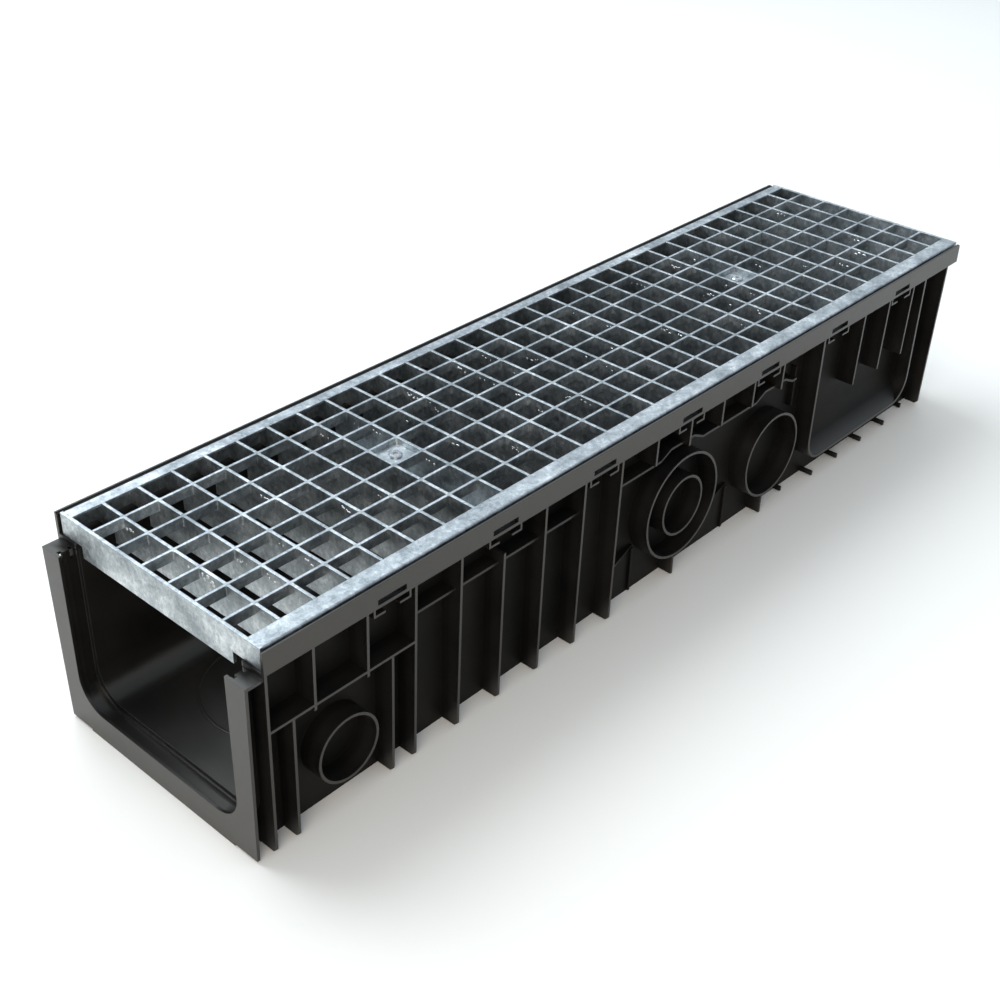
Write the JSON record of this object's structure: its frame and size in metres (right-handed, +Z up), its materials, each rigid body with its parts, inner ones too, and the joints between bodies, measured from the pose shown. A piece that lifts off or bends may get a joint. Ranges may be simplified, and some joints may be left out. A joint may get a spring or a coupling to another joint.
{
  "type": "channel drain",
  "caption": "Straight ribbed plastic drainage channel with pipe spigots and a socket collar, covered by a bolted galvanised mesh grating.",
  "frame": {"origin": "middle of the base, on the ground", "axes": "+X along the channel from the socket collar to the tongue, +Z up, +Y to the left"},
  "size_m": [1.015, 0.2506, 0.197],
  "materials": {
    "black_polypropylene": "moulded, semi-gloss",
    "galvanised_steel": "hot-dip galvanised",
    "zinc_plated_steel": "zinc plated"
  },
  "bodies": {
    "root": {"bearing_bar_01": "galvanised_steel", "bearing_bar_02": "galvanised_steel", "bearing_bar_03": "galvanised_steel", "bearing_bar_04": "galvanised_steel", "bearing_bar_05": "galvanised_steel", "bearing_bar_06": "galvanised_steel", "bearing_bar_07": "galvanised_steel", "bearing_bar_08": "galvanised_steel", "bearing_bar_09": "galvanised_steel", "bearing_bar_10": "galvanised_steel", "bearing_bar_11": "galvanised_steel", "bearing_bar_12": "galvanised_steel", "bearing_bar_13": "galvanised_steel", "bearing_bar_14": "galvanised_steel", "bearing_bar_15": "galvanised_steel", "bearing_bar_16": "galvanised_steel", "bearing_bar_17": "galvanised_steel", "bearing_bar_18": "galvanised_steel", "bearing_bar_19": "galvanised_steel", "bearing_bar_20": "galvanised_steel", "bearing_bar_21": "galvanised_steel", "bearing_bar_22": "galvanised_steel", "bearing_bar_23": "galvanised_steel", "bearing_bar_24": "galvanised_steel", "bearing_bar_25": "galvanised_steel", "bearing_bar_26": "galvanised_steel", "bearing_bar_27": "galvanised_steel", "bearing_bar_28": "galvanised_steel", "bearing_bar_29": "galvanised_steel", "channel_body": "black_polypropylene", "cross_rod_1": "galvanised_steel", "cross_rod_2": "galvanised_steel", "cross_rod_3": "galvanised_steel", "cross_rod_4": "galvanised_steel", "cross_rod_5": "galvanised_steel", "cross_rod_6": "galvanised_steel", "edge_strip_left": "galvanised_steel", "edge_strip_right": "galvanised_steel", "end_plate_far": "galvanised_steel", "end_plate_near": "galvanised_steel", "lock_bars": "galvanised_steel", "lock_bolts": "zinc_plated_steel", "lock_plates": "galvanised_steel"}
  },
  "joints": []
}
